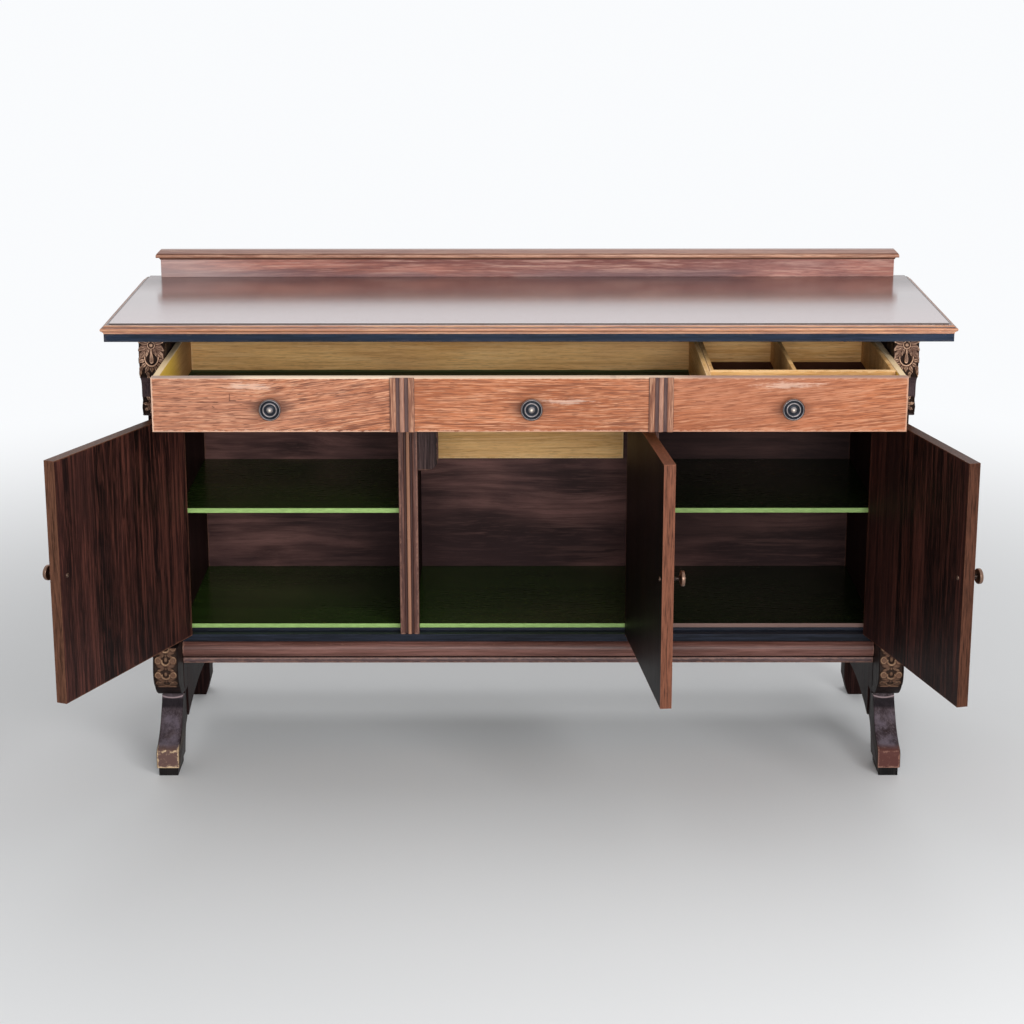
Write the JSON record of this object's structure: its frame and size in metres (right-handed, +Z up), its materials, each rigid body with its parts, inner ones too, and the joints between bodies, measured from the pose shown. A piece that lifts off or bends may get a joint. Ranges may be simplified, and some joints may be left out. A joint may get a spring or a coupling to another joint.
{
  "type": "sideboard",
  "caption": "Long sideboard with a full-width drawer over three door cupboards, carved consoles, scrolled front legs, fluted pilasters, a moulded top and a low back gallery.",
  "frame": {"origin": "on the floor, under the middle of the top board", "axes": "+X to the right along the front, +Y towards the back, +Z up; the doors and the drawer open towards -Y"},
  "size_m": [1.772, 0.9027, 1.008],
  "materials": {
    "top_wood": "satin reddish-brown polish",
    "ebonised_wood": "ebonised, satin",
    "carved_wood": "dark polish, rubbed on the high parts",
    "front_veneer": "open-grained, orange-brown",
    "dark_wood": "dark brown, low sheen",
    "green_paint": "dark green lining with a lime front edge",
    "pale_wood": "unfinished pale wood",
    "bronze": "dark patinated bronze",
    "hinge_steel": "worn",
    "glide_black": "matt"
  },
  "bodies": {
    "carcass": {"back_panel": "dark_wood", "bead_moulding": "front_veneer", "bottom_rail": "ebonised_wood", "cupboard_floor": "green_paint", "door_stop": "dark_wood", "frieze_rail": "front_veneer", "gallery_cap": "top_wood", "gallery_panel": "top_wood", "left_back_post": "carved_wood", "left_console": "carved_wood", "left_divider": "dark_wood", "left_drawer_runner": "pale_wood", "left_end_panel": "dark_wood", "left_fixed_leaves": "hinge_steel", "left_front_leg": "carved_wood", "left_front_post": "carved_wood", "left_glide": "glide_black", "left_knee_block": "carved_wood", "left_pilaster": "front_veneer", "left_shelf": "green_paint", "middle_fixed_leaves": "hinge_steel", "rear_rail": "pale_wood", "right_back_post": "carved_wood", "right_console": "carved_wood", "right_divider": "dark_wood", "right_drawer_runner": "pale_wood", "right_end_panel": "dark_wood", "right_fixed_leaves": "hinge_steel", "right_front_leg": "carved_wood", "right_front_post": "carved_wood", "right_glide": "glide_black", "right_knee_block": "carved_wood", "right_pilaster": "front_veneer", "right_shelf": "green_paint", "sub_top": "ebonised_wood", "top_board": "top_wood", "torus_moulding": "front_veneer", "upper_rail": "front_veneer"},
    "left_leaf": {"left_door": "dark_wood", "left_door_knob": "bronze", "left_door_leaves": "hinge_steel"},
    "middle_leaf": {"middle_door": "dark_wood", "middle_door_knob": "bronze", "middle_door_leaves": "hinge_steel"},
    "right_leaf": {"right_door": "dark_wood", "right_door_knob": "bronze", "right_door_leaves": "hinge_steel"},
    "long_drawer": {"drawer_front": "front_veneer", "left_drawer_strip": "front_veneer", "right_drawer_strip": "front_veneer", "left_drawer_side": "pale_wood", "right_drawer_side": "pale_wood", "drawer_back": "pale_wood", "drawer_bottom": "pale_wood", "drawer_partition": "pale_wood", "cutlery_tray": "pale_wood", "left_drawer_knob": "bronze", "middle_drawer_knob": "bronze", "right_drawer_knob": "bronze"}
  },
  "joints": [
    {"name": "drawer_slide", "type": "slide", "parent": "carcass", "child": "long_drawer", "axis": [0, -1, 0], "range_m": [-0.217, 0.1]},
    {"name": "left_door_hinge", "type": "hinge", "parent": "carcass", "child": "left_leaf", "pos_m": [-0.717, -0.1714, 0.5163], "axis": [0, 0, -1], "range_deg": [-114.3, 10.7]},
    {"name": "middle_door_hinge", "type": "hinge", "parent": "carcass", "child": "middle_leaf", "pos_m": [0.2255, -0.1714, 0.5163], "axis": [0, 0, 1], "range_deg": [-95.9, 14.1]},
    {"name": "right_door_hinge", "type": "hinge", "parent": "carcass", "child": "right_leaf", "pos_m": [0.717, -0.1714, 0.5163], "axis": [0, 0, 1], "range_deg": [-104.8, 20.2]}
  ]
}
